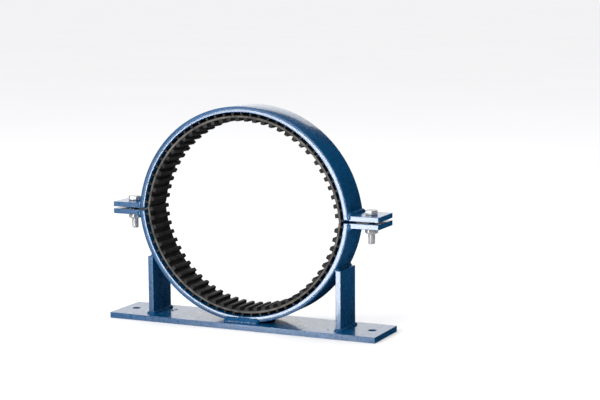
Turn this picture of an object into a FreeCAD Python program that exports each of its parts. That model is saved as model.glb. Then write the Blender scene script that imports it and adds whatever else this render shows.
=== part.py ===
import FreeCAD, Part
import math
import os

import Sketcher

# Saddle-type pipe clamp on a welded base: two half rings of flat bar with rubber
# liners, drawn together by two hex bolts through four welded ears.
# Frame: millimetres, +Z up, origin on the underside of the base plate at its centre,
# X along the base plate, Y along the pipe axis.

doc = FreeCAD.newDocument("PipeSaddleClamp")

# ---------------------------------------------------------------- dimensions
sheet = doc.addObject("Spreadsheet::Sheet", "Dims")
CELLS = [
    ("plate_length", 410.0),     # base plate flat bar 80 x 8
    ("plate_width", 80.0),
    ("plate_thick", 8.0),
    ("anchor_pitch", 370.0),     # distance between the two anchor holes
    ("anchor_dia", 12.0),
    ("split_height", 158.0),     # height of the joint plane between the halves
    ("ring_outer_rad", 162.0),   # half rings, flat bar 50 x 8
    ("ring_inner_rad", 154.0),
    ("bar_width", 50.0),
    ("centre_shift", 12.0),      # each half's centre lies this far past the joint plane
    ("half_gap", 1.5),           # each half stops this far from the joint plane
    ("leg_inner_x", 141.5),      # upright legs, flat bar 50 x 8
    ("leg_thick", 8.0),
    ("leg_height", 83.0),
    ("ear_thick", 7.0),          # bolt ears, flat bar 50 x 7
    ("ear_inner_x", 161.45),
    ("ear_length", 43.05),
    ("bolt_offset_x", 184.0),
    ("ear_hole_dia", 11.0),
    ("bolt_dia", 10.0),          # M10 x 40 hex bolt and M10 hex nut
    ("bolt_length", 40.0),
    ("head_height", 6.4),
    ("hex_flats", 16.0),
    ("nut_height", 8.4),
    ("nut_bore_dia", 10.1),
    ("liner_width", 46.0),       # ribbed rubber liner
    ("web_outer_rad", 149.8),
    ("web_inner_rad", 146.3),
    ("rib_tip_rad", 141.5),
    ("post_width", 3.2),
    ("rib_width", 5.8),
    ("rib_round", 1.3),
    ("upper_rib_step", 5.13),    # angle between ribs, degrees
    ("lower_rib_step", 5.17),
    ("ear_weld_rad", 4.0),
    ("leg_weld_rad", 4.5),
    ("foot_weld_leg", 3.5),
    ("saddle_weld_rad", 7.0),
    ("saddle_weld_length", 55.0),
]
for row, (alias, value) in enumerate(CELLS, start=1):
    sheet.set("A%d" % row, alias)
    sheet.set("B%d" % row, repr(value))
    sheet.setAlias("B%d" % row, alias)
doc.recompute()
D = dict(CELLS)
PARTS = []                       # (object, node name), in assembly order


def keep(obj, label):
    obj.Label = label
    PARTS.append((obj, label))
    return obj


def role(body, name):
    for feature in body.Origin.OriginFeatures:
        if feature.Role == name:
            return feature
    raise RuntimeError("no origin feature " + name)


def new_body(label):
    return keep(doc.addObject("PartDesign::Body", label), label)


def new_sketch(body, name, plane):
    sketch = body.newObject("Sketcher::SketchObject", name)
    sketch.AttachmentSupport = [(role(body, plane), "")]
    sketch.MapMode = "FlatFace"
    return sketch


def v(x, y):
    return FreeCAD.Vector(x, y, 0)


def bind(obj, **expressions):
    for prop, text in expressions.items():
        obj.setExpression(prop.replace("__", "."), text)


def dimension(sketch, kind, args, value, name, text):
    """Adds a dimension, names it and binds it to the sheet."""
    index = sketch.addConstraint(Sketcher.Constraint(kind, *args, value))
    sketch.renameConstraint(index, name)
    sketch.setExpression("Constraints." + name, text)


def sketch_box(sketch, x0, x1, y0, y1, names):
    """Closed rectangle; names maps x0, x1, y0, y1 to the expression of its distance."""
    pts = [v(x0, y0), v(x1, y0), v(x1, y1), v(x0, y1)]
    first = sketch.GeometryCount
    for i in range(4):
        sketch.addGeometry(Part.LineSegment(pts[i], pts[(i + 1) % 4]), False)
    for i in range(4):
        sketch.addConstraint(Sketcher.Constraint(
            "Coincident", first + i, 2, first + (i + 1) % 4, 1))
    for i, kind in enumerate(("Horizontal", "Vertical", "Horizontal", "Vertical")):
        sketch.addConstraint(Sketcher.Constraint(kind, first + i))
    # distances of the four sides from the sketch origin, signed by their order
    for key, side, axis_kind, value in (("x0", 3, "DistanceX", x0), ("x1", 1, "DistanceX", x1),
                                        ("y0", 0, "DistanceY", y0), ("y1", 2, "DistanceY", y1)):
        dimension(sketch, axis_kind, (-1, 1, first + side, 1), value,
                  "%s_%s" % (sketch.Name.lower(), key), names[key])
    return first


def sketch_circle(sketch, x, y, rad, x_text, rad_text, tag):
    index = sketch.addGeometry(Part.Circle(v(x, y), FreeCAD.Vector(0, 0, 1), rad), False)
    dimension(sketch, "DistanceX", (-1, 1, index, 3), x, tag + "_cx", x_text)
    if abs(y) < 1e-9:
        sketch.addConstraint(Sketcher.Constraint("PointOnObject", index, 3, -1))
    dimension(sketch, "Radius", (index,), rad, tag + "_rad", rad_text)
    return index


def pad(body, sketch, name, length_text, midplane=False, reverse=False):
    feature = body.newObject("PartDesign::Pad", name)
    feature.Profile = sketch
    feature.setExpression("Length", length_text)
    if midplane:
        feature.Midplane = True
    feature.Reversed = reverse
    body.Tip = feature
    return feature


def place(obj, x=None, y=None, z=None):
    for axis, text in (("x", x), ("y", y), ("z", z)):
        if text is not None:
            obj.setExpression(".Placement.Base." + axis, text)


ROT_Y180 = FreeCAD.Rotation(FreeCAD.Vector(0, 1, 0), 180)

# ---------------------------------------------------------------- base plate
plate = new_body("base_plate")
sk = new_sketch(plate, "PlateOutline", "XY_Plane")
sketch_box(sk, -205, 205, -40, 40, {
    "x0": "-Dims.plate_length / 2", "x1": "Dims.plate_length / 2",
    "y0": "-Dims.plate_width / 2", "y1": "Dims.plate_width / 2"})
sketch_circle(sk, 185, 0, 6, "Dims.anchor_pitch / 2", "Dims.anchor_dia / 2", "right_hole")
sketch_circle(sk, -185, 0, 6, "-Dims.anchor_pitch / 2", "Dims.anchor_dia / 2", "left_hole")
pad(plate, sk, "PlatePad", "Dims.plate_thick")
doc.recompute()

# ---------------------------------------------------------------- legs
for side, sign in (("left", -1), ("right", 1)):
    leg = keep(doc.addObject("Part::Box", side + "_leg"), side + "_leg")
    bind(leg, Length="Dims.leg_thick", Width="Dims.bar_width", Height="Dims.leg_height")
    place(leg, x="Dims.leg_inner_x" if sign > 0 else "-Dims.leg_inner_x - Dims.leg_thick",
          y="-Dims.bar_width / 2", z="Dims.plate_thick")


# ---------------------------------------------------------------- half rings
def half_ring(label, below):
    body = new_body(label)
    sk = new_sketch(body, label.title().replace("_", "") + "Profile", "XZ_Plane")
    ro, ri = D["ring_outer_rad"], D["ring_inner_rad"]
    cut = D["centre_shift"] + D["half_gap"]
    ao, ai = math.asin(cut / ro), math.asin(cut / ri)
    up = FreeCAD.Vector(0, 0, 1)
    outer = sk.addGeometry(Part.ArcOfCircle(Part.Circle(v(0, 0), up, ro), ao, math.pi - ao), False)
    inner = sk.addGeometry(Part.ArcOfCircle(Part.Circle(v(0, 0), up, ri), ai, math.pi - ai), False)
    right = sk.addGeometry(Part.LineSegment(v(ri * math.cos(ai), cut), v(ro * math.cos(ao), cut)), False)
    left = sk.addGeometry(Part.LineSegment(v(-ro * math.cos(ao), cut), v(-ri * math.cos(ai), cut)), False)
    add = sk.addConstraint
    add(Sketcher.Constraint("Coincident", outer, 3, -1, 1))
    add(Sketcher.Constraint("Coincident", inner, 3, -1, 1))
    add(Sketcher.Constraint("Coincident", inner, 1, right, 1))
    add(Sketcher.Constraint("Coincident", right, 2, outer, 1))
    add(Sketcher.Constraint("Coincident", outer, 2, left, 1))
    add(Sketcher.Constraint("Coincident", left, 2, inner, 2))
    add(Sketcher.Constraint("Horizontal", right))
    add(Sketcher.Constraint("Horizontal", left))
    dimension(sk, "Radius", (outer,), ro, "outer_rad", "Dims.ring_outer_rad")
    dimension(sk, "Radius", (inner,), ri, "inner_rad", "Dims.ring_inner_rad")
    dimension(sk, "DistanceY", (-1, 1, right, 1), cut, "cut_right", "Dims.centre_shift + Dims.half_gap")
    dimension(sk, "DistanceY", (-1, 1, left, 1), cut, "cut_left", "Dims.centre_shift + Dims.half_gap")
    pad(body, sk, label + "_pad", "Dims.bar_width", midplane=True)
    if below:
        body.Placement = FreeCAD.Placement(FreeCAD.Vector(0, 0, 0), ROT_Y180)
        place(body, z="Dims.split_height + Dims.centre_shift")
    else:
        place(body, z="Dims.split_height - Dims.centre_shift")
    return body


half_ring("lower_ring", True)
half_ring("upper_ring", False)
doc.recompute()


# ---------------------------------------------------------------- bolt ears
def ear(label, sign, upper):
    body = new_body(label)
    sk = new_sketch(body, "Outline_" + label, "XY_Plane")
    x0, x1 = D["ear_inner_x"], D["ear_inner_x"] + D["ear_length"]
    lo, hi = "Dims.ear_inner_x", "Dims.ear_inner_x + Dims.ear_length"
    if sign < 0:
        x0, x1 = -x1, -x0
        lo, hi = "-Dims.ear_inner_x - Dims.ear_length", "-Dims.ear_inner_x"
    sketch_box(sk, x0, x1, -25, 25, {"x0": lo, "x1": hi, "y0": "-Dims.bar_width / 2",
                                     "y1": "Dims.bar_width / 2"})
    sketch_circle(sk, sign * D["bolt_offset_x"], 0, 5.5,
                  ("" if sign > 0 else "-") + "Dims.bolt_offset_x", "Dims.ear_hole_dia / 2", "hole")
    pad(body, sk, label + "_pad", "Dims.ear_thick")
    place(body, z="Dims.split_height + Dims.half_gap" if upper
          else "Dims.split_height - Dims.half_gap - Dims.ear_thick")
    return body


ear("lower_left_ear", -1, False)
ear("lower_right_ear", 1, False)
ear("upper_left_ear", -1, True)
ear("upper_right_ear", 1, True)
doc.recompute()


# ---------------------------------------------------------------- rubber liners
def liner(label, below, start, end, step_alias, post_start, posts, rib_start, ribs):
    """Ribbed strip bent to the half ring: a web, narrow posts that bear on the steel and
    wide ribs that grip the pipe, the ribs standing midway between the posts."""
    body = new_body(label)
    up = FreeCAD.Vector(0, 0, 1)
    ro, ri = D["web_outer_rad"], D["web_inner_rad"]
    a0, a1 = math.radians(start), math.radians(end)
    sk = new_sketch(body, "Web_" + label, "XZ_Plane")

    def at(rad, ang):
        return v(rad * math.cos(ang), rad * math.sin(ang))

    outer = sk.addGeometry(Part.ArcOfCircle(Part.Circle(v(0, 0), up, ro), a0, a1), False)
    inner = sk.addGeometry(Part.ArcOfCircle(Part.Circle(v(0, 0), up, ri), a0, a1), False)
    first = sk.addGeometry(Part.LineSegment(at(ri, a0), at(ro, a0)), False)
    last = sk.addGeometry(Part.LineSegment(at(ro, a1), at(ri, a1)), False)
    add = sk.addConstraint
    add(Sketcher.Constraint("Coincident", outer, 3, -1, 1))
    add(Sketcher.Constraint("Coincident", inner, 3, -1, 1))
    add(Sketcher.Constraint("Coincident", inner, 1, first, 1))
    add(Sketcher.Constraint("Coincident", first, 2, outer, 1))
    add(Sketcher.Constraint("Coincident", outer, 2, last, 1))
    add(Sketcher.Constraint("Coincident", last, 2, inner, 2))
    dimension(sk, "Radius", (outer,), ro, "outer_rad", "Dims.web_outer_rad")
    dimension(sk, "Radius", (inner,), ri, "inner_rad", "Dims.web_inner_rad")
    for index, point, ang in ((first, 2, a0), (last, 1, a1)):
        add(Sketcher.Constraint("PointOnObject", -1, 1, index))
        add(Sketcher.Constraint("DistanceX", -1, 1, index, point, ro * math.cos(ang)))
    pad(body, sk, "WebPad_" + label, "Dims.liner_width", midplane=True)

    def ribs_on(tag, x_in, x_out, width, names, begin, count, round_tip):
        prof = new_sketch(body, tag + "_" + label, "XZ_Plane")
        prof.AttachmentOffset = FreeCAD.Placement(
            FreeCAD.Vector(0, 0, 0), FreeCAD.Rotation(FreeCAD.Vector(0, 0, 1), begin))
        if round_tip:
            rad = D["rib_round"]
            half = width / 2
            pts = [v(x_out, -half * 1.12), v(x_out, half * 1.12), v(x_in + rad, half), v(x_in + rad, -half)]
            prof.addGeometry(Part.LineSegment(pts[0], pts[1]), False)
            prof.addGeometry(Part.LineSegment(pts[1], pts[2]), False)
            prof.addGeometry(Part.Arc(pts[2], v(x_in + rad * 0.2929, half - rad * 0.2929),
                                      v(x_in, half - rad)), False)
            prof.addGeometry(Part.LineSegment(v(x_in, half - rad), v(x_in, -half + rad)), False)
            prof.addGeometry(Part.Arc(v(x_in, -half + rad),
                                      v(x_in + rad * 0.2929, -half + rad * 0.2929), pts[3]), False)
            prof.addGeometry(Part.LineSegment(pts[3], pts[0]), False)
            prof.addConstraint(Sketcher.Constraint("Coincident", 0, 2, 1, 1))
            prof.addConstraint(Sketcher.Constraint("Coincident", 5, 2, 0, 1))
            for line, line_pt, arc in ((1, 2, 2), (3, 1, 2), (3, 2, 4), (5, 1, 4)):
                target = prof.Geometry[line].StartPoint if line_pt == 1 else prof.Geometry[line].EndPoint
                arc_geo = prof.Geometry[arc]
                arc_pt = 1 if (arc_geo.StartPoint - target).Length < 1e-6 else 2
                prof.addConstraint(Sketcher.Constraint("Coincident", line, line_pt, arc, arc_pt))
            prof.addConstraint(Sketcher.Constraint("Vertical", 0))
            prof.addConstraint(Sketcher.Constraint("Vertical", 3))
            dimension(prof, "DistanceX", (-1, 1, 0, 1), x_out, "root_rad", names[1])
            dimension(prof, "DistanceX", (-1, 1, 3, 1), x_in, "tip_rad", names[0])
        else:
            sketch_box(prof, x_in, x_out, -width / 2, width / 2, {
                "x0": names[0], "x1": names[1], "y0": "-%s / 2" % names[2], "y1": "%s / 2" % names[2]})
        base = pad(body, prof, tag + "Pad_" + label, "Dims.liner_width", midplane=True)
        doc.recompute()
        pattern = body.newObject("PartDesign::PolarPattern", tag + "Pattern_" + label)
        pattern.Originals = [base]
        pattern.Axis = (role(body, "Y_Axis"), [""])
        pattern.Reversed = True
        pattern.Occurrences = count
        pattern.setExpression("Angle", "Dims.%s * %d" % (step_alias, count - 1))
        body.Tip = pattern
        doc.recompute()
        return pattern

    # the posts' outer faces are flat, so their corners stop just inside the steel's bore
    ribs_on("Post", 149.6, 153.98, D["post_width"],
            ("Dims.web_outer_rad - 0.2", "Dims.ring_inner_rad - 0.02", "Dims.post_width"),
            post_start, posts, False)
    ribs_on("Rib", 141.5, 146.5, D["rib_width"],
            ("Dims.rib_tip_rad", "Dims.web_inner_rad + 0.2", "Dims.rib_width"),
            rib_start, ribs, True)
    if below:
        body.Placement = FreeCAD.Placement(FreeCAD.Vector(0, 0, 0), ROT_Y180)
        place(body, z="Dims.split_height + Dims.centre_shift")
    else:
        place(body, z="Dims.split_height - Dims.centre_shift")
    return body


liner("lower_liner", True, 2.6, 174.3, "lower_rib_step", 7.1, 33, 4.5, 33)
# the upper liner is two strips that butt at about 42 degrees above the right ear
liner("upper_liner_short", False, 3.8, 42.1, "upper_rib_step", 5.0, 8, 7.56, 7)
liner("upper_liner_long", False, 42.45, 173.1, "upper_rib_step", 43.35, 26, 45.9, 25)


# ---------------------------------------------------------------- bolts and nuts
def hexagon(sketch, flats, tag):
    """Regular hexagon about the sketch origin, sized across its flats."""
    rad = flats / math.sqrt(3)
    pts = [v(rad * math.cos(math.radians(60 * i)), rad * math.sin(math.radians(60 * i))) for i in range(6)]
    circle = sketch.addGeometry(Part.Circle(v(0, 0), FreeCAD.Vector(0, 0, 1), rad), True)
    sketch.addConstraint(Sketcher.Constraint("Coincident", circle, 3, -1, 1))
    first = sketch.GeometryCount
    for i in range(6):
        sketch.addGeometry(Part.LineSegment(pts[i], pts[(i + 1) % 6]), False)
    for i in range(6):
        sketch.addConstraint(Sketcher.Constraint("Coincident", first + i, 2, first + (i + 1) % 6, 1))
        sketch.addConstraint(Sketcher.Constraint("PointOnObject", first + i, 1, circle))
    for i in range(1, 6):
        sketch.addConstraint(Sketcher.Constraint("Equal", first, first + i))
    sketch.addConstraint(Sketcher.Constraint("PointOnObject", first, 1, -1))
    dimension(sketch, "Radius", (circle,), rad, tag, "Dims.hex_flats / sqrt(3)")


def hex_chamfer(body, label, name, z, upward):
    """30 degree corner chamfer of a hex head or nut, cut as a groove about its axis."""
    sk = new_sketch(body, name + "_" + label, "XZ_Plane")
    sgn = 1.0 if upward else -1.0
    rc, far, drop = 7.7, 10.5, 1.62
    pts = [v(rc, z), v(far, z - sgn * drop), v(far, z + sgn * 0.5), v(rc, z + sgn * 0.5)]
    for i in range(4):
        sk.addGeometry(Part.LineSegment(pts[i], pts[(i + 1) % 4]), False)
    for i in range(4):
        sk.addConstraint(Sketcher.Constraint("Coincident", i, 2, (i + 1) % 4, 1))
    groove = body.newObject("PartDesign::Groove", name + "Groove_" + label)
    groove.Profile = sk
    groove.ReferenceAxis = (role(body, "Z_Axis"), [""])
    groove.Angle = 360.0
    body.Tip = groove
    doc.recompute()
    return groove


def bolt(label, sign):
    body = new_body(label)
    sk = new_sketch(body, "Head_" + label, "XY_Plane")
    hexagon(sk, D["hex_flats"], "corner_rad")
    head = pad(body, sk, "HeadPad_" + label, "Dims.head_height")
    doc.recompute()
    before = body.Shape.Volume
    hex_chamfer(body, label, "Top", D["head_height"], True)
    assert body.Shape.Volume < before - 5
    sk = new_sketch(body, "Shank_" + label, "XY_Plane")
    index = sk.addGeometry(Part.Circle(v(0, 0), FreeCAD.Vector(0, 0, 1), 5), False)
    sk.addConstraint(Sketcher.Constraint("Coincident", index, 3, -1, 1))
    dimension(sk, "Radius", (index,), 5, "shank_rad", "Dims.bolt_dia / 2")
    shank = pad(body, sk, "ShankPad_" + label, "Dims.bolt_length", reverse=True)
    doc.recompute()
    end_edge = [i + 1 for i, e in enumerate(body.Shape.Edges)
                if abs(e.BoundBox.ZMax + D["bolt_length"]) < 1e-4][0]
    chamfer = body.newObject("PartDesign::Chamfer", "PointChamfer_" + label)
    chamfer.Base = (shank, ["Edge%d" % end_edge])
    chamfer.Size = 1.0
    body.Tip = chamfer
    place(body, x=("" if sign > 0 else "-") + "Dims.bolt_offset_x",
          z="Dims.split_height + Dims.half_gap + Dims.ear_thick")
    doc.recompute()
    return body


def nut(label, sign):
    body = new_body(label)
    sk = new_sketch(body, "Hexagon_" + label, "XY_Plane")
    hexagon(sk, D["hex_flats"], "corner_rad")
    index = sk.addGeometry(Part.Circle(v(0, 0), FreeCAD.Vector(0, 0, 1), 5.05), False)
    sk.addConstraint(Sketcher.Constraint("Coincident", index, 3, -1, 1))
    dimension(sk, "Radius", (index,), 5.05, "bore_rad", "Dims.nut_bore_dia / 2")
    pad(body, sk, "NutPad_" + label, "Dims.nut_height")
    doc.recompute()
    before = body.Shape.Volume
    hex_chamfer(body, label, "Top", D["nut_height"], True)
    hex_chamfer(body, label, "Bottom", 0.0, False)
    assert body.Shape.Volume < before - 10
    place(body, x=("" if sign > 0 else "-") + "Dims.bolt_offset_x",
          z="Dims.split_height - Dims.half_gap - Dims.ear_thick - Dims.nut_height")
    doc.recompute()
    return body


bolt("left_bolt", -1)
bolt("right_bolt", 1)
nut("left_nut", -1)
nut("right_nut", 1)


# ---------------------------------------------------------------- weld beads
def envelope_cylinder(name, z_text):
    """The half ring's outer surface as a full cylinder along Y, to trim a bead to it."""
    cyl = doc.addObject("Part::Cylinder", name)
    bind(cyl, Radius="Dims.ring_outer_rad", Height="Dims.bar_width + 40")
    cyl.Placement = FreeCAD.Placement(FreeCAD.Vector(0, 0, 0),
                                      FreeCAD.Rotation(FreeCAD.Vector(1, 0, 0), -90))
    place(cyl, y="-Dims.bar_width / 2 - 20", z=z_text)
    return cyl


def bead_rod(name, rad_text, x_text, z_text):
    rod = doc.addObject("Part::Cylinder", name)
    bind(rod, Radius=rad_text, Height="Dims.bar_width")
    rod.Placement = FreeCAD.Placement(FreeCAD.Vector(0, 0, 0),
                                      FreeCAD.Rotation(FreeCAD.Vector(1, 0, 0), -90))
    place(rod, x=x_text, y="-Dims.bar_width / 2", z=z_text)
    return rod


def slab(name, x_text, z_text, length_text, height_text):
    box = doc.addObject("Part::Box", name)
    bind(box, Length=length_text, Width="Dims.bar_width + 20", Height=height_text)
    place(box, x=x_text, y="-Dims.bar_width / 2 - 10", z=z_text)
    return box


def trimmed_bead(label, rod, tools):
    fuse = doc.addObject("Part::MultiFuse", "Tool_" + label)
    fuse.Shapes = tools
    cut = keep(doc.addObject("Part::Cut", label), label)
    cut.Base = rod
    cut.Tool = fuse
    return cut


for side, sign in (("left", -1), ("right", 1)):
    pre = "" if sign > 0 else "-"
    # bead on top of the upper ear, in the corner with the upper half ring
    trimmed_bead(
        "upper_%s_ear_weld" % side,
        bead_rod("RodU_" + side, "Dims.ear_weld_rad", pre + "(Dims.ear_inner_x + 0.4)",
                 "Dims.split_height + Dims.half_gap + Dims.ear_thick"),
        [envelope_cylinder("RingU_" + side, "Dims.split_height - Dims.centre_shift"),
         slab("EarU_" + side, pre + "Dims.ear_inner_x - 30",
              "Dims.split_height + Dims.half_gap + Dims.ear_thick - 30", "60", "30")])
    # bead under the lower ear, in the corner with the lower half ring
    trimmed_bead(
        "lower_%s_ear_weld" % side,
        bead_rod("RodL_" + side, "Dims.ear_weld_rad", pre + "(Dims.ear_inner_x + 0.4)",
                 "Dims.split_height - Dims.half_gap - Dims.ear_thick"),
        [envelope_cylinder("RingL_" + side, "Dims.split_height + Dims.centre_shift"),
         slab("EarL_" + side, pre + "Dims.ear_inner_x - 30",
              "Dims.split_height - Dims.half_gap - Dims.ear_thick", "60", "30")])
    # bead on the square-cut top of the leg, against the lower half ring
    trimmed_bead(
        "%s_leg_top_weld" % side,
        bead_rod("RodT_" + side, "Dims.leg_weld_rad", pre + "(Dims.leg_inner_x + 0.4)",
                 "Dims.plate_thick + Dims.leg_height"),
        [envelope_cylinder("RingT_" + side, "Dims.split_height + Dims.centre_shift"),
         slab("LegT_" + side, pre + "Dims.leg_inner_x - 30",
              "Dims.plate_thick + Dims.leg_height - 30", "60", "30")])
    # fillet weld all round the foot of the leg: a frustum less the leg itself
    frustum = doc.addObject("Part::Wedge", "Frustum_" + side)
    bind(frustum,
         Xmin="-Dims.foot_weld_leg", Ymin="0", Zmin="-Dims.foot_weld_leg",
         X2min="0", Z2min="0",
         Xmax="Dims.leg_thick + Dims.foot_weld_leg", Ymax="Dims.foot_weld_leg",
         Zmax="Dims.bar_width + Dims.foot_weld_leg",
         X2max="Dims.leg_thick", Z2max="Dims.bar_width")
    frustum.Placement = FreeCAD.Placement(FreeCAD.Vector(0, 0, 0),
                                          FreeCAD.Rotation(FreeCAD.Vector(1, 0, 0), 90))
    place(frustum, x="Dims.leg_inner_x" if sign > 0 else "-Dims.leg_inner_x - Dims.leg_thick",
          y="Dims.bar_width / 2", z="Dims.plate_thick")
    core = doc.addObject("Part::Box", "FootCore_" + side)
    bind(core, Length="Dims.leg_thick", Width="Dims.bar_width", Height="Dims.leg_height")
    place(core, x="Dims.leg_inner_x" if sign > 0 else "-Dims.leg_inner_x - Dims.leg_thick",
          y="-Dims.bar_width / 2", z="Dims.plate_thick")
    foot = keep(doc.addObject("Part::Cut", side + "_foot_weld"), side + "_foot_weld")
    foot.Base = frustum
    foot.Tool = core

# quarter-round beads along the bottom of the lower half ring, on both of its faces
for face, sign in (("front", -1), ("rear", 1)):
    bead = keep(doc.addObject("Part::Cylinder", "saddle_%s_weld" % face), "saddle_%s_weld" % face)
    bind(bead, Radius="Dims.saddle_weld_rad", Height="Dims.saddle_weld_length")
    bead.Angle = 90.0
    # axis along X; the quarter opens upwards and away from the half ring's face
    turn = FreeCAD.Rotation(FreeCAD.Vector(0, 1, 0), 90)
    spin = FreeCAD.Rotation(FreeCAD.Vector(1, 0, 0), 180 if sign < 0 else 90)
    bead.Placement = FreeCAD.Placement(FreeCAD.Vector(0, 0, 0), spin.multiply(turn))
    place(bead, x="-Dims.saddle_weld_length / 2",
          y=("-" if sign < 0 else "") + "Dims.bar_width / 2", z="Dims.plate_thick")

doc.recompute()

# ---------------------------------------------------------------- checks and files
bad = [o.Name for o in doc.Objects if "Invalid" in o.State or "Error" in o.State]
if bad:
    raise RuntimeError("failed objects: " + ", ".join(bad))
os.makedirs("parts", exist_ok=True)
for obj, name in PARTS:
    shape = obj.Shape
    if shape.isNull() or not shape.isValid() or len(shape.Solids) != 1:
        raise RuntimeError("bad shape: %s (%d solids)" % (name, len(shape.Solids)))
for obj, name in PARTS:
    obj.Shape.exportStep(os.path.join("parts", name + ".step"))
    box = obj.Shape.BoundBox
    print("%-20s %10.1f mm3  x %7.2f %7.2f  y %7.2f %7.2f  z %7.2f %7.2f" % (
        name, obj.Shape.Volume, box.XMin, box.XMax, box.YMin, box.YMax, box.ZMin, box.ZMax))
print(len(PARTS), "nodes")
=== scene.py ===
import bpy
import bmesh
import math
from mathutils import Matrix, Vector, noise


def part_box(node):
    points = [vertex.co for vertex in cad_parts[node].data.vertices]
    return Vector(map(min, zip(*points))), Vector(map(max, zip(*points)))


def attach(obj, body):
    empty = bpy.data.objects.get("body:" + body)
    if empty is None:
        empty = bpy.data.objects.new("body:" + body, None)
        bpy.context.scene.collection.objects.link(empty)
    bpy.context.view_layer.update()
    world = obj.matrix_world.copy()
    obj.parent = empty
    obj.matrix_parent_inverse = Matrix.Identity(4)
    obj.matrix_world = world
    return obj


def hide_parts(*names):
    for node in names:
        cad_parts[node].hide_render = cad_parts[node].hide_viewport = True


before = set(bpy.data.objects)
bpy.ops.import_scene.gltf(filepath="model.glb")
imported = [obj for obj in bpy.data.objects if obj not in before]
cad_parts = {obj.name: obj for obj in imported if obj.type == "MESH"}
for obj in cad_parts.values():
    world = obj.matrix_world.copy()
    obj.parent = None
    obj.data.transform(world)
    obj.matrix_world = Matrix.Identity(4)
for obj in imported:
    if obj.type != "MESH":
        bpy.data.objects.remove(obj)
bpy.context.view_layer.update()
MM = 0.001

# ------------------------------------------------------------------ sizes, mm
plate_lo, plate_hi = [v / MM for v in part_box("base_plate")[0]], [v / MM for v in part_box("base_plate")[1]]
ring_lo, ring_hi = [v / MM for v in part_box("upper_ring")[0]], [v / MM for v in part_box("upper_ring")[1]]
low_lo, low_hi = [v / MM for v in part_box("lower_ring")[0]], [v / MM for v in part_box("lower_ring")[1]]
R_OUT, R_IN, BAR = 162.0, 154.0, ring_hi[1] - ring_lo[1]
UP_Z = ring_hi[2] - R_OUT            # centre of the upper half's arc
LOW_Z = low_lo[2] + R_OUT            # centre of the lower half's arc
SPLIT = (ring_lo[2] + low_hi[2]) / 2


# ------------------------------------------------------------------ mesh help
def make(name, verts, faces, smooth=True, mats=(), angle=None):
    """A mesh object from points in mm."""
    me = bpy.data.meshes.new(name)
    me.from_pydata([(x * MM, y * MM, z * MM) for x, y, z in verts], [], faces)
    me.update()
    bm = bmesh.new()
    bm.from_mesh(me)
    bmesh.ops.recalc_face_normals(bm, faces=bm.faces)
    bm.to_mesh(me)
    bm.free()
    for p in me.polygons:
        p.use_smooth = smooth
    for m in mats:
        me.materials.append(m)
    if smooth and angle is not None:
        me.set_sharp_from_angle(angle=math.radians(angle))
    ob = bpy.data.objects.new(name, me)
    bpy.context.scene.collection.objects.link(ob)
    return ob


def baked(ob):
    """The object's mesh with its modifiers applied."""
    dg = bpy.context.evaluated_depsgraph_get()
    me = bpy.data.meshes.new_from_object(ob.evaluated_get(dg))
    ob.modifiers.clear()
    old = ob.data
    ob.data = me
    bpy.data.meshes.remove(old)
    return ob


def tube_faces(rings, cols, closed=False, cap=True, base=0):
    faces = []
    last = rings if closed else rings - 1
    for i in range(last):
        a, b = i * cols, ((i + 1) % rings) * cols
        for j in range(cols):
            k = (j + 1) % cols
            faces.append((base + a + j, base + a + k, base + b + k, base + b + j))
    if cap and not closed:
        faces.append(tuple(base + j for j in range(cols))[::-1])
        faces.append(tuple(base + (rings - 1) * cols + j for j in range(cols)))
    return faces


def smooth_step(t):
    t = max(0.0, min(1.0, t))
    return t * t * (3 - 2 * t)


def rounded_rect(w, h, r, n=4):
    pts = []
    for cx, cy, a0 in ((w / 2 - r, h / 2 - r, 0), (-w / 2 + r, h / 2 - r, 90),
                       (-w / 2 + r, -h / 2 + r, 180), (w / 2 - r, -h / 2 + r, 270)):
        for i in range(n + 1):
            a = math.radians(a0 + 90 * i / n)
            pts.append((cx + r * math.cos(a), cy + r * math.sin(a)))
    return pts


def n3(x, y, z, s=1.0, off=0.0):
    return noise.noise(Vector((x * s + off, y * s - off * 0.7, z * s + off * 1.3)))


# ------------------------------------------------------------------ materials
def nodes_of(name):
    m = bpy.data.materials.new(name)
    m.use_nodes = True
    nt = m.node_tree
    nt.nodes.clear()
    out = nt.nodes.new("ShaderNodeOutputMaterial")
    b = nt.nodes.new("ShaderNodeBsdfPrincipled")
    nt.links.new(b.outputs[0], out.inputs[0])
    return m, nt, b


def add(nt, kind, **props):
    n = nt.nodes.new(kind)
    for k, v in props.items():
        if k.startswith("in_"):
            n.inputs[k[3:].replace("_", " ")].default_value = v
        else:
            setattr(n, k, v)
    return n


def noise_tex(nt, coord, scale, detail=3.0, rough=0.5, stretch=None):
    t = add(nt, "ShaderNodeTexNoise")
    t.inputs["Scale"].default_value = scale
    t.inputs["Detail"].default_value = detail
    t.inputs["Roughness"].default_value = rough
    if stretch is not None:
        mp = add(nt, "ShaderNodeMapping")
        mp.inputs["Scale"].default_value = stretch
        nt.links.new(coord, mp.inputs["Vector"])
        coord = mp.outputs[0]
    nt.links.new(coord, t.inputs["Vector"])
    return t


def ramp(nt, fac, stops):
    r = add(nt, "ShaderNodeValToRGB")
    el = r.color_ramp.elements
    while len(el) < len(stops):
        el.new(0.5)
    for e, (pos, col) in zip(el, stops):
        e.position = pos
        e.color = (*col, 1.0) if len(col) == 3 else col
    nt.links.new(fac, r.inputs[0])
    return r


def map_range(nt, fac, lo, hi, a, b):
    r = add(nt, "ShaderNodeMapRange")
    r.inputs["From Min"].default_value = lo
    r.inputs["From Max"].default_value = hi
    r.inputs["To Min"].default_value = a
    r.inputs["To Max"].default_value = b
    nt.links.new(fac, r.inputs["Value"])
    return r


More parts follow.
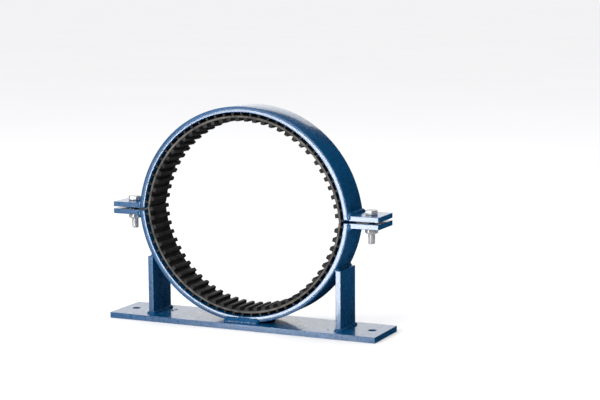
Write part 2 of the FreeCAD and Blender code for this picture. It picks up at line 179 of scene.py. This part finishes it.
def bump(nt, height, strength, distance, prev=None):
    b = add(nt, "ShaderNodeBump")
    b.inputs["Strength"].default_value = strength
    b.inputs["Distance"].default_value = distance
    nt.links.new(height, b.inputs["Height"])
    if prev is not None:
        nt.links.new(prev, b.inputs["Normal"])
    return b.outputs["Normal"]


def enamel(name, wave=1.0, streak=None):
    """Thick glossy blue enamel: orange peel, long soft waves and slightly uneven cover."""
    m, nt, b = nodes_of(name)
    tc = add(nt, "ShaderNodeTexCoord")
    co = tc.outputs["Object"]
    big = noise_tex(nt, co, 22.0, 4.0, 0.55)
    mid = noise_tex(nt, co, 160.0, 3.0, 0.5)
    peel = noise_tex(nt, co, 900.0, 2.0, 0.5)
    speck = noise_tex(nt, co, 2600.0, 1.0, 0.5)
    col = ramp(nt, big.outputs["Fac"], ((0.30, (0.0008, 0.062, 0.165)), (0.52, (0.0011, 0.074, 0.200)),
                                        (0.74, (0.0018, 0.089, 0.236))))
    mix = add(nt, "ShaderNodeMixRGB", blend_type="MULTIPLY")
    mix.inputs[0].default_value = 0.35
    tint = ramp(nt, mid.outputs["Fac"], ((0.3, (0.72, 0.76, 0.80)), (0.7, (1.0, 1.0, 1.0))))
    nt.links.new(col.outputs[0], mix.inputs[1])
    nt.links.new(tint.outputs[0], mix.inputs[2])
    nt.links.new(mix.outputs[0], b.inputs["Base Color"])
    rg = map_range(nt, mid.outputs["Fac"], 0.3, 0.7, 0.24, 0.36)
    nt.links.new(rg.outputs[0], b.inputs["Roughness"])
    b.inputs["IOR"].default_value = 1.52
    b.inputs["Coat Weight"].default_value = 0.75
    b.inputs["Coat Roughness"].default_value = 0.09
    b.inputs["Coat IOR"].default_value = 1.5
    nrm = bump(nt, big.outputs["Fac"], 0.5 * wave, 0.0010)
    nrm = bump(nt, mid.outputs["Fac"], 0.35 * wave, 0.00030, nrm)
    nrm = bump(nt, peel.outputs["Fac"], 0.55, 0.00016, nrm)
    nrm = bump(nt, speck.outputs["Fac"], 0.15, 0.00002, nrm)
    nt.links.new(nrm, b.inputs["Normal"])
    return m


def rubber(name, cut=None):
    """Matt black moulded rubber; on the knife-cut side faces (cut is the arc's centre in
    mm) the solid web shows as a greyer, coarser band between the posts and the ribs."""
    m, nt, b = nodes_of(name)
    tc = add(nt, "ShaderNodeTexCoord")
    co = tc.outputs["Object"]
    bloom = noise_tex(nt, co, 110.0 if cut else 60.0, 4.0, 0.6)
    grain = noise_tex(nt, co, 1500.0, 3.0, 0.6)
    draw = noise_tex(nt, co, 700.0, 2.0, 0.5, (1.0, 0.05, 1.0))
    if cut:
        web = ramp(nt, bloom.outputs["Fac"], ((0.34, (0.045, 0.041, 0.037)), (0.50, (0.105, 0.098, 0.091)),
                                              (0.68, (0.165, 0.155, 0.146))))
        rest = ramp(nt, bloom.outputs["Fac"], ((0.30, (0.009, 0.009, 0.009)), (0.60, (0.030, 0.029, 0.028)),
                                               (0.80, (0.070, 0.068, 0.065))))
        off = add(nt, "ShaderNodeVectorMath", operation="SUBTRACT")
        nt.links.new(co, off.inputs[0])
        off.inputs[1].default_value = (cut[0] * MM, 0.0, cut[1] * MM)
        flat = add(nt, "ShaderNodeVectorMath", operation="MULTIPLY")
        nt.links.new(off.outputs[0], flat.inputs[0])
        flat.inputs[1].default_value = (1.0, 0.0, 1.0)
        rad = add(nt, "ShaderNodeVectorMath", operation="LENGTH")
        nt.links.new(flat.outputs[0], rad.inputs[0])
        lo = map_range(nt, rad.outputs["Value"], 0.1466, 0.1471, 0.0, 1.0)
        hi = map_range(nt, rad.outputs["Value"], 0.1490, 0.1495, 1.0, 0.0)
        band = add(nt, "ShaderNodeMath", operation="MULTIPLY")
        nt.links.new(lo.outputs[0], band.inputs[0])
        nt.links.new(hi.outputs[0], band.inputs[1])
        col = add(nt, "ShaderNodeMixRGB")
        nt.links.new(band.outputs[0], col.inputs[0])
        nt.links.new(rest.outputs[0], col.inputs[1])
        nt.links.new(web.outputs[0], col.inputs[2])
    else:
        col = ramp(nt, bloom.outputs["Fac"], ((0.30, (0.014, 0.014, 0.0145)), (0.60, (0.028, 0.028, 0.0285)),
                                              (0.80, (0.044, 0.044, 0.0445))))
    nt.links.new(col.outputs[0], b.inputs["Base Color"])
    rg = map_range(nt, grain.outputs["Fac"], 0.3, 0.7, 0.62 if cut else 0.46, 0.86 if cut else 0.62)
    nt.links.new(rg.outputs[0], b.inputs["Roughness"])
    b.inputs["IOR"].default_value = 1.48
    nrm = bump(nt, grain.outputs["Fac"], 0.35, 0.00010)
    nrm = bump(nt, draw.outputs["Fac"], 0.30, 0.00008, nrm)
    nt.links.new(nrm, b.inputs["Normal"])
    return m


def zinc(name):
    """Bright zinc plate: faint cloudy tint, fine drawing marks and small pits."""
    m, nt, b = nodes_of(name)
    tc = add(nt, "ShaderNodeTexCoord")
    co = tc.outputs["Object"]
    cloud = noise_tex(nt, co, 140.0, 4.0, 0.6)
    fine = noise_tex(nt, co, 1800.0, 3.0, 0.6)
    lines = noise_tex(nt, co, 1400.0, 2.0, 0.5, (1.0, 1.0, 0.06))
    col = ramp(nt, cloud.outputs["Fac"], ((0.28, (0.62, 0.63, 0.66)), (0.52, (0.78, 0.78, 0.78)),
                                          (0.78, (0.84, 0.82, 0.78))))
    nt.links.new(col.outputs[0], b.inputs["Base Color"])
    b.inputs["Metallic"].default_value = 0.55
    rg = map_range(nt, fine.outputs["Fac"], 0.3, 0.7, 0.20, 0.36)
    nt.links.new(rg.outputs[0], b.inputs["Roughness"])
    nrm = bump(nt, fine.outputs["Fac"], 0.25, 0.00004)
    nrm = bump(nt, lines.outputs["Fac"], 0.20, 0.00004, nrm)
    nt.links.new(nrm, b.inputs["Normal"])
    return m


PAINT = enamel("blue_enamel")
PAINT_WELD = enamel("blue_enamel_on_weld", wave=0.6)
RUBBER = rubber("liner_rubber")
RUBBER_CUT = {"lower_liner": rubber("liner_rubber_cut_lower", (0.0, LOW_Z)),
              "upper_liner_short": rubber("liner_rubber_cut_short", (0.0, UP_Z)),
              "upper_liner_long": rubber("liner_rubber_cut_upper", (0.0, UP_Z))}
ZINC = zinc("bright_zinc")
for n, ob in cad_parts.items():
    mat = RUBBER if "liner" in n else ZINC if ("bolt" in n or "nut" in n) else PAINT
    if not ob.material_slots:
        ob.data.materials.append(mat)
    for s in ob.material_slots:
        s.material = mat


def finish_piece(ob, body, node):
    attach(ob, body)
    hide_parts(node)
    return ob


# ------------------------------------------------------------------ flat bars
def half_ring(name, node, body, zc, sign):
    """Rolled flat bar: a rounded section swept round the arc, its ends sawn level."""
    th, r = R_OUT - R_IN, 0.9
    rm = (R_OUT + R_IN) / 2
    cut = abs((ring_lo[2] if sign > 0 else low_hi[2]) - zc)
    a_end = math.degrees(math.asin(cut / rm))
    stations = []
    for k in range(4):                                # rounded sawn end
        t = math.radians(90 * k / 4)
        stations.append((a_end + math.degrees(r * (1 - math.cos(t)) / rm), r * (1 - math.sin(t))))
    steps = 180
    lo_a = a_end + math.degrees(r / rm)
    mids = [(lo_a + (180 - 2 * lo_a) * i / steps, 0.0) for i in range(steps + 1)]
    ends = [(180 - a, inset) for a, inset in reversed(stations)]
    verts, cols = [], 0
    for a, inset in stations + mids + ends:
        sec = rounded_rect(BAR - 2 * inset, th - 2 * inset, max(r - inset, 0.05), 4)
        cols = len(sec)
        aa = min(a, 180 - a)
        lean = a_end * (1 - smooth_step((aa - a_end) / 9.0))
        b = aa - lean
        if a > 90:
            b = 180 - b
        ca, sa, cb, sb = (math.cos(math.radians(a)), math.sin(math.radians(a)),
                          math.cos(math.radians(b)), math.sin(math.radians(b)))
        wob = 0.10 * n3(ca * 3.0, sa * 3.0, 0.0, 1.0, 7.0 * sign)
        for y, h in sec:
            x, z = rm * ca + (h + wob) * cb, rm * sa + (h + wob) * sb
            verts.append((x * (1 if sign > 0 else -1), y, zc + sign * z))
    ob = make(name, verts, tube_faces(len(verts) // cols, cols), mats=(PAINT,), angle=50)
    return finish_piece(ob, body, node)


half_ring("upper_ring_bar", "upper_ring", "upper_half", UP_Z, 1)
half_ring("lower_ring_bar", "lower_ring", "base", LOW_Z, -1)


def flat_plate(name, node, body, holes=(), edge=0.8, corner=0.0, segments=3, drops=()):
    """Plate cut from flat bar, with rounded edges, drilled holes and drops of spatter."""
    lo, hi = [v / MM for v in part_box(node)[0]], [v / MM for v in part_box(node)[1]]
    c = [(a + b) / 2 for a, b in zip(lo, hi)]
    verts = [(x, y, z) for z in (lo[2], hi[2]) for y in (lo[1], hi[1]) for x in (lo[0], hi[0])]
    faces = [(0, 1, 3, 2), (4, 6, 7, 5), (0, 4, 5, 1), (2, 3, 7, 6), (0, 2, 6, 4), (1, 5, 7, 3)]
    ob = make(name, verts, faces, smooth=False, mats=(PAINT,))
    if corner:
        bm = bmesh.new()
        bm.from_mesh(ob.data)
        ups = [e for e in bm.edges if abs((e.verts[0].co - e.verts[1].co).normalized().z) > 0.9]
        bmesh.ops.bevel(bm, geom=ups, offset=corner * MM, segments=5, affect="EDGES", profile=0.5)
        bm.to_mesh(ob.data)
        bm.free()
    for i, (x, y, r) in enumerate(holes):
        bm = bmesh.new()
        bmesh.ops.create_cone(bm, cap_ends=True, segments=64, radius1=r * MM, radius2=r * MM,
                              depth=(hi[2] - lo[2] + 20) * MM,
                              matrix=Matrix.Translation((x * MM, y * MM, c[2] * MM)))
        me = bpy.data.meshes.new("cut")
        bm.to_mesh(me)
        bm.free()
        cutter = bpy.data.objects.new("cut", me)
        bpy.context.scene.collection.objects.link(cutter)
        mod = ob.modifiers.new("hole", "BOOLEAN")
        mod.operation, mod.solver, mod.object = "DIFFERENCE", "EXACT", cutter
        bpy.context.view_layer.update()
        baked(ob)
        bpy.data.objects.remove(cutter)
    mod = ob.modifiers.new("edge", "BEVEL")
    mod.width, mod.segments, mod.limit_method = edge * MM, segments, "ANGLE"
    mod.angle_limit = math.radians(35)
    mod.harden_normals = False
    bpy.context.view_layer.update()
    baked(ob)
    for p in ob.data.polygons:
        p.use_smooth = True
    ob.data.set_sharp_from_angle(angle=math.radians(40))
    wn = ob.modifiers.new("normals", "WEIGHTED_NORMAL")
    wn.keep_sharp = True
    bpy.context.view_layer.update()
    baked(ob)
    if drops:
        bm = bmesh.new()
        bm.from_mesh(ob.data)
        for x, y, z, r, flat in drops:
            squash = Matrix.Diagonal(tuple(0.55 if k == flat else 1.0 for k in range(3)) + (1.0,))
            bmesh.ops.create_icosphere(bm, subdivisions=2, radius=r * MM,
                                       matrix=Matrix.Translation((x * MM, y * MM, z * MM)) @ squash)
        for f in bm.faces:
            f.smooth = True
        bm.to_mesh(ob.data)
        bm.free()
    return finish_piece(ob, body, node)


def spatter(side):
    """Drops thrown on the inner face of a leg and on the plate beside it."""
    leg, plate = [], []
    count = 210 if side < 0 else 30
    for i in range(count):
        a = 0.5 + 0.5 * math.sin(12.9898 * (i + 1) + side)
        b = 0.5 + 0.5 * math.sin(78.233 * (i + 1) + 2.0 * side)
        c = 0.5 + 0.5 * math.sin(37.719 * (i + 1))
        r = 0.5 + 0.8 * c * c
        if i % 3 < 2:
            leg.append((side * 141.5, -20.0 + 34.0 * a, plate_hi[2] + 3.5 + 19.0 * b * b, r, 0))
        else:
            plate.append((side * (139.0 - 14.0 * b * b), -20.0 + 34.0 * a, plate_hi[2], r, 2))
    return leg, plate


hole_x = 185.0
flat_plate("base_plate_bar", "base_plate", "base", ((-hole_x, 0, 6), (hole_x, 0, 6)), 0.8, 0.5,
           drops=spatter(-1)[1] + spatter(1)[1])
for side, sign in (("left", -1), ("right", 1)):
    flat_plate(side + "_leg_bar", side + "_leg", "base", (), 0.8, drops=spatter(sign)[0])
    for lvl, body in (("lower", "base"), ("upper", "upper_half")):
        flat_plate("%s_%s_ear_plate" % (lvl, side), "%s_%s_ear" % (lvl, side), body,
                   ((sign * 184.0, 0, 5.5),), 0.8, 1.0)


# ------------------------------------------------------------------ weld beads
def bead_shell(path, ups, rad, seed, pitch=2.6, ripple=0.07, lump=0.10, closed=False,
               squash=(1.0, 1.0), cols=28, step=0.35, base=0, taper=True):
    """One run of weld: a lumpy rod along the path with overlapping crescent ripples."""
    pts, up, dist = [], [], [0.0]
    seq = list(zip(path, ups))
    if closed:
        seq.append(seq[0])
    for (p0, u0), (p1, u1) in zip(seq[:-1], seq[1:]):
        ln = (Vector(p1) - Vector(p0)).length
        n = max(1, int(ln / step))
        for i in range(n):
            t = i / n
            pts.append(Vector(p0).lerp(Vector(p1), t))
            up.append(Vector(u0).lerp(Vector(u1), t).normalized())
    if not closed:
        pts.append(Vector(seq[-1][0]))
        up.append(Vector(seq[-1][1]).normalized())
    for a, b in zip(pts[:-1], pts[1:]):
        dist.append(dist[-1] + (b - a).length)
    total = dist[-1]
    verts = []
    for i, (p, u) in enumerate(zip(pts, up)):
        if closed:
            tan = (pts[(i + 1) % len(pts)] - pts[i - 1]).normalized()
        else:
            tan = (pts[min(i + 1, len(pts) - 1)] - pts[max(i - 1, 0)]).normalized()
        side = tan.cross(u).normalized()
        uu = side.cross(tan).normalized()
        s = dist[i]
        end = 1.0
        if taper and not closed:
            e = min(s, total - s) / (rad * 0.9)
            if e < 1:
                end = max(0.12, math.sqrt(max(0.0, 1 - (1 - e) ** 2)))
        for j in range(cols):
            a = 2 * math.pi * j / cols
            ca, sa = math.cos(a), math.sin(a)
            ph = s / pitch + 0.55 * (1 - sa) + 0.25 * n3(s, seed, 0, 0.25)
            f = ph - math.floor(ph)
            saw = (f if f < 0.8 else (1 - f) * 4.0) - 0.45
            q = p + side * ca + uu * sa
            r = rad * end * (1 + ripple * saw + lump * n3(q.x, q.y, q.z, 0.22, seed)
                             + 0.03 * n3(q.x, q.y, q.z, 0.9, seed))
            o = p + side * (ca * r * squash[0]) + uu * (sa * r * squash[1])
            verts.append((o.x, o.y, o.z))
    return verts, tube_faces(len(pts), cols, closed=closed, base=base)


def weld(name, node, body, runs):
    verts, faces = [], []
    for run in runs:
        v, f = bead_shell(base=len(verts), **run)
        verts += v
        faces += f
    ob = make(name, verts, faces, mats=(PAINT_WELD,), angle=80)
    return finish_piece(ob, body, node)


EAR_X = 161.6
seed = 3.0
for side, sign in (("left", -1), ("right", 1)):
    for lvl, body in (("upper", "upper_half"), ("lower", "base")):
        lo, hi = [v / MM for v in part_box("%s_%s_ear" % (lvl, side))[0]], [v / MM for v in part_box("%s_%s_ear" % (lvl, side))[1]]
        up = 1 if lvl == "upper" else -1
        z = hi[2] if up > 0 else lo[2]
        gap_z = lo[2] if up > 0 else hi[2]
        seed += 5.3
        runs = [dict(path=[(sign * (EAR_X - 0.3), -25.6, z), (sign * (EAR_X - 0.3), 25.6, z)],
                     ups=[(sign * 0.7, 0, up * 0.7)] * 2, rad=4.0, seed=seed)]
        for y in (-1, 1):
            runs.append(dict(path=[(sign * EAR_X, y * 23.0, z + up * 3.2), (sign * EAR_X, y * 23.0, gap_z + up * 0.3)],
                             ups=[(0, y, 0)] * 2, rad=2.9, seed=seed + y, pitch=2.2, squash=(1.25, 0.95)))
        weld("%s_%s_ear_bead" % (lvl, side), "%s_%s_ear_weld" % (lvl, side), body, runs)
    lo, hi = [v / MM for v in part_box(side + "_leg")[0]], [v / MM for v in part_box(side + "_leg")[1]]
    inner = hi[0] if sign < 0 else lo[0]
    seed += 4.1
    weld(side + "_leg_top_bead", side + "_leg_top_weld", "base",
         [dict(path=[(inner + sign * 0.5, -24.9, hi[2]), (inner + sign * 0.5, 24.9, hi[2])],
               ups=[(sign * 0.5, 0, 0.85)] * 2, rad=3.9, seed=seed)])
    foot = []
    for (x, y) in ((lo[0], lo[1]), (hi[0], lo[1]), (hi[0], hi[1]), (lo[0], hi[1])):
        foot.append((x, y, plate_hi[2]))
    cx, cy = (lo[0] + hi[0]) / 2, 0.0
    loop, ups = [], []
    for i, (x, y, z) in enumerate(foot):
        px, py, _ = foot[i - 1]
        qx, qy, _ = foot[(i + 1) % 4]
        for ox, oy in ((px, py), (qx, qy)):
            d = Vector((ox - x, oy - y, 0)).normalized() * 1.2
            loop.append((x + d.x, y + d.y, z))
            ups.append((0, 0, 1))
    seed += 2.7
    weld(side + "_foot_bead", side + "_foot_weld", "base",
         [dict(path=loop, ups=ups, rad=3.1, seed=seed, closed=True, lump=0.30, ripple=0.12)])
for face, y in (("front", -25.0), ("rear", 25.0)):
    seed += 3.9
    s = -1 if y < 0 else 1
    weld("saddle_%s_bead" % face, "saddle_%s_weld" % face, "base",
         [dict(path=[(-27.5, y, plate_hi[2] + 0.4), (27.5, y, plate_hi[2] + 0.4)],
               ups=[(0, s * 0.7, 0.7)] * 2, rad=6.4, seed=seed, pitch=3.2, lump=0.12)])


# ------------------------------------------------------------------ liners
WEB_OUT, WEB_IN, TIP, LINER_W = 149.7, 146.3, 141.5, 46.0


def interp(chain, a):
    lo, hi = 0, len(chain) - 1
    if a <= chain[0][0]:
        return chain[0][1]
    if a >= chain[-1][0]:
        return chain[-1][1]
    while hi - lo > 1:
        mid = (lo + hi) // 2
        if chain[mid][0] <= a:
            lo = mid
        else:
            hi = mid
    (a0, r0), (a1, r1) = chain[lo], chain[hi]
    return r0 + (r1 - r0) * (a - a0) / (a1 - a0) if a1 > a0 else r0


def liner(name, node, body, zc, sign, start, end, step, post0, posts, rib0, ribs, seed):
    """Extruded double-ribbed strip: narrow posts against the steel, a web, and wide
    round-shouldered ribs inside, its two side faces cut with a knife."""
    deg = 180 / math.pi

    def bumps(first, count, half, r_base, r_top, fillet, rnd):
        chain = [(start, r_base)]
        s = 1 if r_top > r_base else -1
        for i in range(count):
            c = first + i * step + 0.10 * n3(i, seed, 0, 0.9)
            hw = half * (1 + 0.05 * n3(i, seed, 5, 0.7))
            top = r_top
            prof = []
            for k in range(4):                        # root fillet
                t = math.radians(90 * k / 3)
                prof.append((hw + fillet * (1 - math.sin(t)), r_base + s * fillet * (1 - math.cos(t))))
            for k in range(5):                        # rounded shoulder
                t = math.radians(90 * k / 4)
                prof.append((hw - rnd * (1 - math.cos(t)) - 0.03, top - s * rnd * (1 - math.sin(t))))
            left = [(c - d * deg / r, r) for d, r in prof]
            right = [(c + d * deg / r, r) for d, r in reversed(prof)]
            chain += left + right
        chain.append((end, r_base))
        out = [chain[0]]
        for a, r in chain[1:]:
            out.append((min(max(a, out[-1][0] + 1e-4), end), r))
        return out

    outer = bumps(post0, posts, 1.55, WEB_OUT, R_IN - 0.02, 0.5, 0.25)
    inner = bumps(rib0, ribs, 2.95, WEB_IN, TIP, 0.5, 1.25)
    angs = sorted(set([a for a, _ in outer] + [a for a, _ in inner]
                      + [start + (end - start) * i / 200 for i in range(201)]))
    angs = [a for i, a in enumerate(angs) if i == 0 or a - angs[i - 1] > 2e-5]
    n = len(angs)

    def pt(a, r):
        a = math.radians(a)
        return (r * math.cos(a), r * math.sin(a))

    loop = [pt(a, interp(inner, a)) for a in angs] + [pt(a, interp(outer, a)) for a in reversed(angs)]
    m = len(loop)
    # inward normals of the outline, for the small rounding of the side faces
    nrm = []
    for i in range(m):
        x0, y0 = loop[i - 1]
        x1, y1 = loop[(i + 1) % m]
        tx, ty = x1 - x0, y1 - y0
        ln = math.hypot(tx, ty) or 1.0
        nrm.append((ty / ln, -tx / ln))
    area = sum(loop[i][0] * loop[(i + 1) % m][1] - loop[(i + 1) % m][0] * loop[i][1] for i in range(m))
    flip = 1 if area < 0 else -1
    half = LINER_W / 2
    verts, rows = [], []
    cuts = ((-half, 0.22), (-half + 0.08, 0.06), (-half + 0.3, 0.0), (0.0, 0.0),
            (half - 0.3, 0.0), (half - 0.08, 0.06), (half, 0.22))
    for y, inset in cuts:
        for (x, z), (nx, nz) in zip(loop, nrm):
            px, pz = x + flip * nx * inset, z + flip * nz * inset
            wave = 0.0
            if abs(y) > half - 0.5:
                wave = 0.12 * n3(px, pz, y, 0.05, seed)
            verts.append((px * sign, y + wave, zc + sign * pz))
    faces = tube_faces(len(cuts), m, cap=False)
    side_start = len(faces)
    for base in (0, (len(cuts) - 1) * m):
        for i in range(n - 1):
            faces.append((base + i, base + i + 1, base + m - 2 - i, base + m - 1 - i))
    ob = make(name, verts, faces, mats=(RUBBER, RUBBER_CUT[node]), angle=35)
    for p in ob.data.polygons:
        if p.index >= side_start or abs(p.normal.y) > 0.6:
            p.material_index = 1
    return finish_piece(ob, body, node)


liner("lower_liner_strip", "lower_liner", "base", LOW_Z, -1, 2.6, 174.3, 5.17, 7.1, 33, 4.5, 33, 1.7)
liner("upper_liner_short_strip", "upper_liner_short", "upper_half", UP_Z, 1, 3.8, 42.1, 5.13, 5.0, 8, 7.56, 7, 4.2)
liner("upper_liner_long_strip", "upper_liner_long", "upper_half", UP_Z, 1, 42.45, 173.1, 5.13, 43.35, 26, 45.9, 25, 8.6)


# ------------------------------------------------------------------ fasteners
def hex_radius(theta, flats, soft=0.35):
    """Distance to a hexagon's side with its corners slightly rounded."""
    a = (theta + math.pi / 6) % (math.pi / 3) - math.pi / 6
    a = (theta % (math.pi / 3)) - math.pi / 6
    r = flats / 2 / math.cos(a)
    corner = flats / math.sqrt(3)
    return min(r, corner - soft * smooth_step((r - (corner - 0.8)) / 0.8))


def hex_body(flats, z0, z1, cham0, cham1, bore=None, turn=0.0, cols=120, washer=0.0):
    """Hex head or nut as rings from the top centre down the side to the bottom centre."""
    rc = flats / 2 * 0.955
    t30 = math.tan(math.radians(28))
    inner = bore if bore else 0.0
    rings = []

    def ring(fn):
        rings.append([fn(2 * math.pi * j / cols) for j in range(cols)])

    def pos(th, r, z):
        return (r * math.cos(th + turn), r * math.sin(th + turn), z)

    top_in = inner + 0.8 if bore else 0.0
    if bore:
        ring(lambda th: pos(th, inner, z1 - 0.9))
        ring(lambda th: pos(th, top_in, z1))
    else:
        ring(lambda th: pos(th, 0.01, z1 - 0.28))
        ring(lambda th: pos(th, rc * 0.72, z1 - 0.28))
        ring(lambda th: pos(th, rc * 0.80, z1 - 0.05))
    ring(lambda th: pos(th, rc * 0.86, z1))
    ring(lambda th: pos(th, rc - 0.25, z1))
    ring(lambda th: pos(th, rc, z1 - 0.06))

    def edge(th, k, top):
        r = hex_radius(th, flats)
        z = (z1 if top else z0)
        c = cham1 if top else cham0
        d = max(0.0, r - rc) * t30 * c + 0.10
        zz = z - d if top else z + d
        if k == 0:
            return pos(th, r - 0.18, zz + (0.07 if top else -0.07))
        if k == 1:
            return pos(th, r - 0.05, zz)
        return pos(th, r, zz + (-0.18 if top else 0.18))

    for k in range(3):
        ring(lambda th, k=k: edge(th, k, True))
    for f in (0.25, 0.5, 0.75):
        ring(lambda th, f=f: tuple(a + (b - a) * f for a, b in zip(edge(th, 2, True), edge(th, 2, False))))
    for k in (2, 1, 0):
        ring(lambda th, k=k: edge(th, k, False))
    if washer:
        ring(lambda th: pos(th, rc * 0.97, z0))
        ring(lambda th: pos(th, rc * 0.95, z0 - washer))
        ring(lambda th: pos(th, rc * 0.6, z0 - washer))
    else:
        ring(lambda th: pos(th, rc, z0 + 0.02))
        ring(lambda th: pos(th, rc - 0.3, z0))
    if bore:
        ring(lambda th: pos(th, inner + 0.8, z0))
        ring(lambda th: pos(th, inner, z0 + 0.9))
    else:
        ring(lambda th: pos(th, 3.0, z0))
    verts = [p for r in rings for p in r]
    faces = tube_faces(len(rings), cols, closed=bool(bore), cap=not bore)
    return verts, faces


def thread(z_top, z_end, major, pitch, cols=56, per=16, base=0, plain=0.6):
    """Threaded shank: the radius follows a flattened 60 degree ridge up a right-hand helix."""
    depth = 0.58 * pitch
    rows = int((z_top - z_end) / pitch * per)
    verts = []
    for i in range(rows + 1):
        z = z_top + (z_end - z_top) * i / rows
        run_in = smooth_step((z_top - plain - z) / 1.2)
        pt = (z - z_end)
        cham = min(1.0, pt / 1.1)
        for j in range(cols):
            th = 2 * math.pi * j / cols
            ph = (z / pitch - th / (2 * math.pi)) % 1.0
            tri = abs(ph - 0.5) * 2                       # 0 at the root's middle, 1 at the crest
            h = min(1.0, max(0.0, (tri - 0.14) / 0.70))
            r = major - depth * (1 - h) * run_in
            lim = major - 1.15 * (1 - cham)
            verts.append((min(r, lim) * math.cos(th), min(r, lim) * math.sin(th), z))
    return verts, tube_faces(rows + 1, cols, base=base)


def shift(verts, dx):
    return [(x + dx, y, z) for x, y, z in verts]


for side, sign, turn, nut_turn in (("left", -1, math.radians(12), math.radians(40)),
                                   ("right", 1, math.radians(-8), math.radians(22))):
    lo, hi = [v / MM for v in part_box(side + "_bolt")[0]], [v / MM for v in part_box(side + "_bolt")[1]]
    ear_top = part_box("upper_%s_ear" % side)[1][2] / MM
    xc = (lo[0] + hi[0]) / 2
    hv, hf = hex_body(16.0, ear_top + 0.25, hi[2], 0.25, 1.0, turn=turn, washer=0.25)
    tv, tf = thread(ear_top + 1.0, lo[2], 4.97, 1.5, base=len(hv))
    ob = make(side + "_hex_bolt", shift(hv + tv, xc), hf + tf, mats=(ZINC,), angle=32)
    finish_piece(ob, side + "_bolt", side + "_bolt")
    nlo, nhi = [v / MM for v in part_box(side + "_nut")[0]], [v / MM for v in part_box(side + "_nut")[1]]
    nv, nf = hex_body(16.0, nlo[2], nhi[2], 1.0, 1.0, bore=5.02, turn=nut_turn)
    ob = make(side + "_hex_nut", shift(nv, xc), nf, mats=(ZINC,), angle=32)
    finish_piece(ob, side + "_nut", side + "_nut")

# ------------------------------------------------------------------ stage
m, nt, b = nodes_of("studio_floor")
tc = add(nt, "ShaderNodeTexCoord")
soft = noise_tex(nt, tc.outputs["Object"], 1.6, 2.0, 0.5)
col = ramp(nt, soft.outputs["Fac"], ((0.3, (0.795, 0.795, 0.81)), (0.7, (0.81, 0.81, 0.825))))
nt.links.new(col.outputs[0], b.inputs["Base Color"])
b.inputs["Roughness"].default_value = 0.75
b.inputs["Specular IOR Level"].default_value = 0.0
b.inputs["Emission Color"].default_value = (1.0, 1.0, 1.0, 1.0)
b.inputs["Emission Strength"].default_value = 0.19
floor = make("studio_floor", [(-80000, -80000, -0.2), (80000, -80000, -0.2), (80000, 80000, -0.2), (-80000, 80000, -0.2)],
             [(0, 1, 2, 3)], smooth=False, mats=(m,))
floor.visible_glossy = False
floor.visible_shadow = False

world = bpy.data.worlds.new("studio") if bpy.context.scene.world is None else bpy.context.scene.world
bpy.context.scene.world = world
world.use_nodes = True
wn = world.node_tree
wn.nodes.clear()
wo = wn.nodes.new("ShaderNodeOutputWorld")
bg = wn.nodes.new("ShaderNodeBackground")
# white room: bright overhead and to the left and front, a dim wall to the right
wtc = wn.nodes.new("ShaderNodeTexCoord")
sep = wn.nodes.new("ShaderNodeSeparateXYZ")
wn.links.new(wtc.outputs["Generated"], sep.inputs[0])
right_dim = map_range(wn, sep.outputs["X"], -0.1, 0.75, 1.0, 0.05)
top_lift = map_range(wn, sep.outputs["Z"], 0.25, 0.80, 0.0, 1.0)
wall = wn.nodes.new("ShaderNodeMath")
wall.operation = "MAXIMUM"
wn.links.new(right_dim.outputs[0], wall.inputs[0])
wn.links.new(top_lift.outputs[0], wall.inputs[1])
wn.links.new(wall.outputs[0], bg.inputs[1])
bg.inputs[0].default_value = (1.0, 1.0, 1.0, 1.0)
wn.links.new(bg.outputs[0], wo.inputs[0])
world.cycles_visibility.glossy = False


def softbox(name, pos, target, size, power, color=(1, 1, 1)):
    light = bpy.data.lights.new(name, "AREA")
    light.shape = "RECTANGLE"
    light.size, light.size_y = size
    light.energy = power
    light.color = color
    ob = bpy.data.objects.new(name, light)
    ob.location = pos
    d = Vector(target) - Vector(pos)
    ob.rotation_euler = d.to_track_quat("-Z", "Y").to_euler()
    bpy.context.scene.collection.objects.link(ob)
    return ob


softbox("key_overhead", (-0.3, 0.6, 2.6), (0, 0, 0.1), (2.6, 2.2), 12)
fill = softbox("front_fill", (-0.9, -3.4, 1.7), (0, 0, 0.2), (1.8, 1.8), 85)
fill.visible_glossy = False
# cards seen only as reflections: the white table in front, the bright wall behind
for card in (softbox("table_card", (-0.62, -1.65, -0.10), (0.12, 0, 0.16), (0.44, 0.50), 12.0),
             softbox("table_card_left", (-1.12, -1.60, -0.10), (-0.1, 0, 0.16), (0.60, 0.50), 0.35),
             softbox("front_strip", (-1.15, -2.9, 0.95), (0, 0, 0.2), (1.6, 1.6), 6),
             softbox("back_card", (-1.25, 3.0, 0.85), (0, 0, 0.2), (1.9, 1.6), 12)):
    card.visible_diffuse = False

cam_data = bpy.data.cameras.new("camera")
cam_data.lens = 94.4
cam_data.sensor_width = 36.0
cam_data.clip_start, cam_data.clip_end = 0.05, 60.0
cam = bpy.data.objects.new("camera", cam_data)
bpy.context.scene.collection.objects.link(cam)
fwd = Vector((-0.4205, 0.8965, -0.1399)).normalized()
right = Vector((0.9057, 0.4238, -0.0067))
right = (right - fwd * right.dot(fwd)).normalized()
upv = right.cross(fwd).normalized()
cam.matrix_world = Matrix(((right.x, upv.x, -fwd.x, 0.98229), (right.y, upv.y, -fwd.y, -1.92752),
                           (right.z, upv.z, -fwd.z, 0.48112), (0, 0, 0, 1)))
bpy.context.scene.camera = cam
bpy.context.scene.view_settings.view_transform = "Standard"
